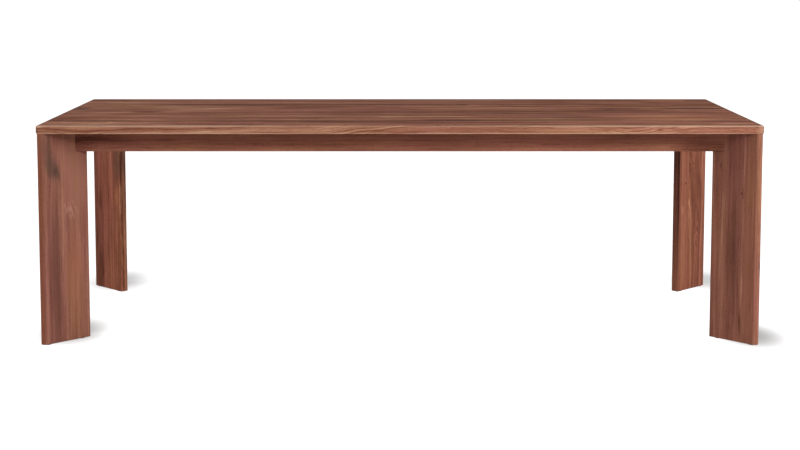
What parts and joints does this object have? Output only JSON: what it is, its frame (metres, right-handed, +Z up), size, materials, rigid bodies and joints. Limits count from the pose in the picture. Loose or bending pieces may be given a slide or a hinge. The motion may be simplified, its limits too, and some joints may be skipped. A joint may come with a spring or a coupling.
{
  "type": "dining table",
  "caption": "Rectangular solid walnut dining table with a thick board top, flat plank legs turned across the corners and a recessed apron frame.",
  "frame": {"origin": "on the floor under the centre of the top", "axes": "+X along the table, +Y from the front side to the rear side, +Z up"},
  "size_m": [2.44, 1, 0.75],
  "materials": {
    "top_walnut": "satin",
    "leg_walnut": "satin",
    "apron_walnut": "satin",
    "frame_wood": "matte",
    "fastener_steel": "satin",
    "glide_felt": "matte"
  },
  "bodies": {
    "root": {"front_apron": "apron_walnut", "front_left_corner_block": "frame_wood", "front_left_leg_inner_stave": "leg_walnut", "front_left_leg_outer_stave": "leg_walnut", "front_right_corner_block": "frame_wood", "front_right_leg_inner_stave": "leg_walnut", "front_right_leg_middle_stave": "leg_walnut", "front_right_leg_outer_stave": "leg_walnut", "hanger_bolt_nuts": "fastener_steel", "hanger_bolt_washers": "fastener_steel", "hanger_bolts": "fastener_steel", "left_apron": "apron_walnut", "left_cross_rail": "frame_wood", "leg_glides": "glide_felt", "rear_apron": "apron_walnut", "rear_left_corner_block": "frame_wood", "rear_left_leg_inner_stave": "leg_walnut", "rear_left_leg_outer_stave": "leg_walnut", "rear_right_corner_block": "frame_wood", "rear_right_leg_inner_stave": "leg_walnut", "rear_right_leg_outer_stave": "leg_walnut", "right_apron": "apron_walnut", "right_cross_rail": "frame_wood", "top_board_1": "top_walnut", "top_board_2": "top_walnut", "top_board_3": "top_walnut", "top_board_4": "top_walnut", "top_board_5": "top_walnut", "top_board_6": "top_walnut", "top_board_7": "top_walnut", "top_board_8": "top_walnut", "top_clip_screws": "fastener_steel", "top_clips": "fastener_steel"}
  },
  "joints": []
}
